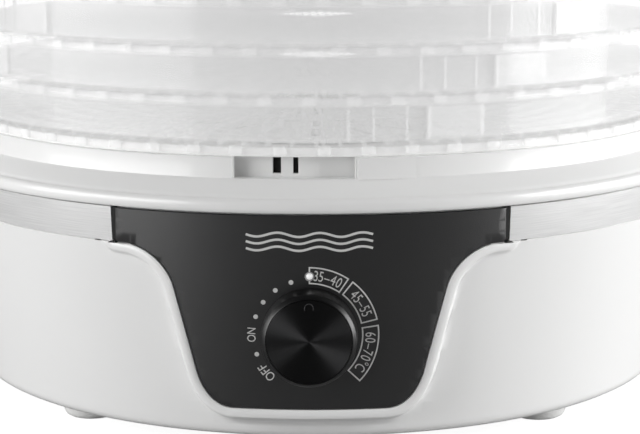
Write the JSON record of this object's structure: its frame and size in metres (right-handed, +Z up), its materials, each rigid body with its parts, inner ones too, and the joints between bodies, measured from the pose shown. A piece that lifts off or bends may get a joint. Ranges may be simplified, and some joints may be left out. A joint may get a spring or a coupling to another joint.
{
  "type": "food dehydrator",
  "caption": "Round countertop food dehydrator with a fan-heated base, dial thermostat and stackable clear trays under a lid.",
  "frame": {"origin": "on the ground under the middle of the tower", "axes": "+Z up the tower, the dial faces -Y, +X to the right seen from the front"},
  "size_m": [0.3248, 0.3382, 0.222],
  "materials": {
    "white": "satin moulded ABS",
    "rubber_foot": "matt moulded",
    "tray_plastic": "clear moulded, slightly hazy",
    "lid_plastic": "clear moulded",
    "brushed_band": "fine brushed along the band",
    "panel_graphite": "satin, with light grey printing",
    "knob_black": "gloss black",
    "knob_cap": "spun, black anodised",
    "lamp": "clear to white lens, and the light grey printing",
    "nylon": "natural nylon",
    "brass": "turned",
    "zinc_steel": "zinc plated",
    "laminated_steel": "punched lamination stack",
    "copper_coil": "enamelled copper winding",
    "fan_black": "glass-filled nylon",
    "mica": "mica board",
    "gland_black": "moulded nylon",
    "lead_insulation": "silicone sleeving"
  },
  "bodies": {
    "base": {"base_housing": "white", "bottom_cover": "white", "deck_ring": "white", "outlet_grille": "white", "foot_1": "rubber_foot", "foot_2": "rubber_foot", "foot_3": "rubber_foot", "foot_4": "rubber_foot", "steel_band": "brushed_band", "control_panel": "panel_graphite", "led_lens": "lamp", "led_holder": "nylon", "gland_nut": "nylon", "terminal_block": "nylon", "thermal_fuse": "nylon", "thermostat_body": "zinc_steel", "thermostat_bracket": "zinc_steel", "thermostat_screw_1": "zinc_steel", "thermostat_screw_2": "zinc_steel", "bearing_bridge_low": "zinc_steel", "bearing_bridge_high": "zinc_steel", "motor_screw_1": "zinc_steel", "motor_screw_2": "zinc_steel", "motor_bracket": "zinc_steel", "bracket_screw_1": "zinc_steel", "bracket_screw_2": "zinc_steel", "heat_duct": "zinc_steel", "duct_screw_1": "zinc_steel", "duct_screw_2": "zinc_steel", "duct_screw_3": "zinc_steel", "cover_screw_1": "zinc_steel", "cover_screw_2": "zinc_steel", "cover_screw_3": "zinc_steel", "cover_screw_4": "zinc_steel", "heater_element": "zinc_steel", "motor_stack": "laminated_steel", "motor_coil": "copper_coil", "heater_frame": "mica", "cord_gland": "gland_black", "lead_mains": "lead_insulation", "lead_thermostat": "lead_insulation", "lead_heater": "lead_insulation"},
    "dial": {"dial_knob": "knob_black", "knob_cap": "knob_cap", "thermostat_shaft": "brass"},
    "fan": {"motor_rotor": "laminated_steel", "motor_shaft": "zinc_steel", "fan_blade": "fan_black"},
    "tray_1": {"tray_1": "tray_plastic"},
    "tray_2": {"tray_2": "tray_plastic"},
    "tray_3": {"tray_3": "tray_plastic"},
    "tray_4": {"tray_4": "tray_plastic"},
    "tray_5": {"tray_5": "tray_plastic"},
    "lid": {"lid": "lid_plastic"}
  },
  "joints": [
    {"name": "dial_turn", "type": "hinge", "parent": "base", "child": "dial", "pos_m": [0, -0.165, 0.0502], "axis": [0, 1, 0], "range_deg": [-132, 131]},
    {"name": "fan_spin", "type": "hinge", "parent": "base", "child": "fan", "pos_m": [0, 0, 0.065], "axis": [0, 0, 1], "continuous": true},
    {"name": "tray_1_lift", "type": "slide", "parent": "base", "child": "tray_1", "axis": [0, 0, 1], "range_m": [0, 0.04]},
    {"name": "tray_2_lift", "type": "slide", "parent": "tray_1", "child": "tray_2", "axis": [0, 0, 1], "range_m": [0, 0.04]},
    {"name": "tray_3_lift", "type": "slide", "parent": "tray_2", "child": "tray_3", "axis": [0, 0, 1], "range_m": [0, 0.04]},
    {"name": "tray_4_lift", "type": "slide", "parent": "tray_3", "child": "tray_4", "axis": [0, 0, 1], "range_m": [0, 0.04]},
    {"name": "tray_5_lift", "type": "slide", "parent": "tray_4", "child": "tray_5", "axis": [0, 0, 1], "range_m": [0, 0.04]},
    {"name": "lid_lift", "type": "slide", "parent": "tray_5", "child": "lid", "axis": [0, 0, 1], "range_m": [0, 0.04]}
  ]
}
